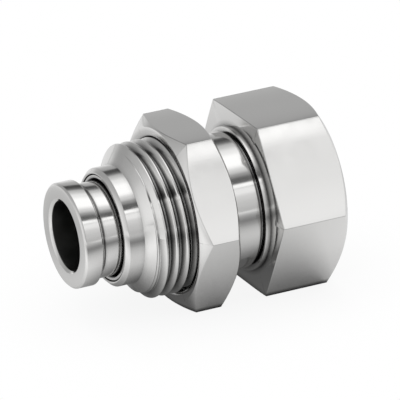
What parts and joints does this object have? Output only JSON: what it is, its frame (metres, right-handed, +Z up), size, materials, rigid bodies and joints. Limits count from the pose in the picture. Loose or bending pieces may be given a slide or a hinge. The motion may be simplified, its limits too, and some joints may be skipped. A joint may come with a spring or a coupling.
{
  "type": "push-in fitting",
  "caption": "Bulkhead push-in tube fitting: flanged release button, threaded stem with lock nut, hexagon with female port.",
  "frame": {"origin": "on the axis, in the plane of the hexagon's front face where a panel seats", "axes": "+X along the axis, out of the female port; +Z up, square to two level flats of the hexagon and the lock nut"},
  "size_m": [0.024, 0.0184, 0.016],
  "materials": {
    "nickel_body": "nickel plated, polished",
    "nickel_nut": "nickel plated, polished",
    "nickel_button": "nickel plated, fine turned",
    "spring_steel": "bright spring sheet",
    "turned_brass": "turned, bare",
    "rubber": "smooth black rubber"
  },
  "bodies": {
    "housing": {"body": "nickel_body", "guide": "nickel_button", "collet": "turned_brass", "seal": "rubber"},
    "nut": {"lock_nut": "nickel_nut"},
    "grip": {"chuck": "spring_steel"},
    "button": {"release_button": "nickel_button"}
  },
  "joints": [
    {"name": "nut_travel", "type": "slide", "parent": "housing", "child": "nut", "axis": [-1, 0, 0], "range_m": [-0.002, 0.003]},
    {"name": "grip_turn", "type": "hinge", "parent": "housing", "child": "grip", "pos_m": [-0.0085, 0, 0], "axis": [1, 0, 0], "continuous": true},
    {"name": "button_press", "type": "slide", "parent": "grip", "child": "button", "axis": [1, 0, 0], "range_m": [0, 0.0012], "stiffness_N_per_m": 1500, "springref_m": -0.0005}
  ]
}
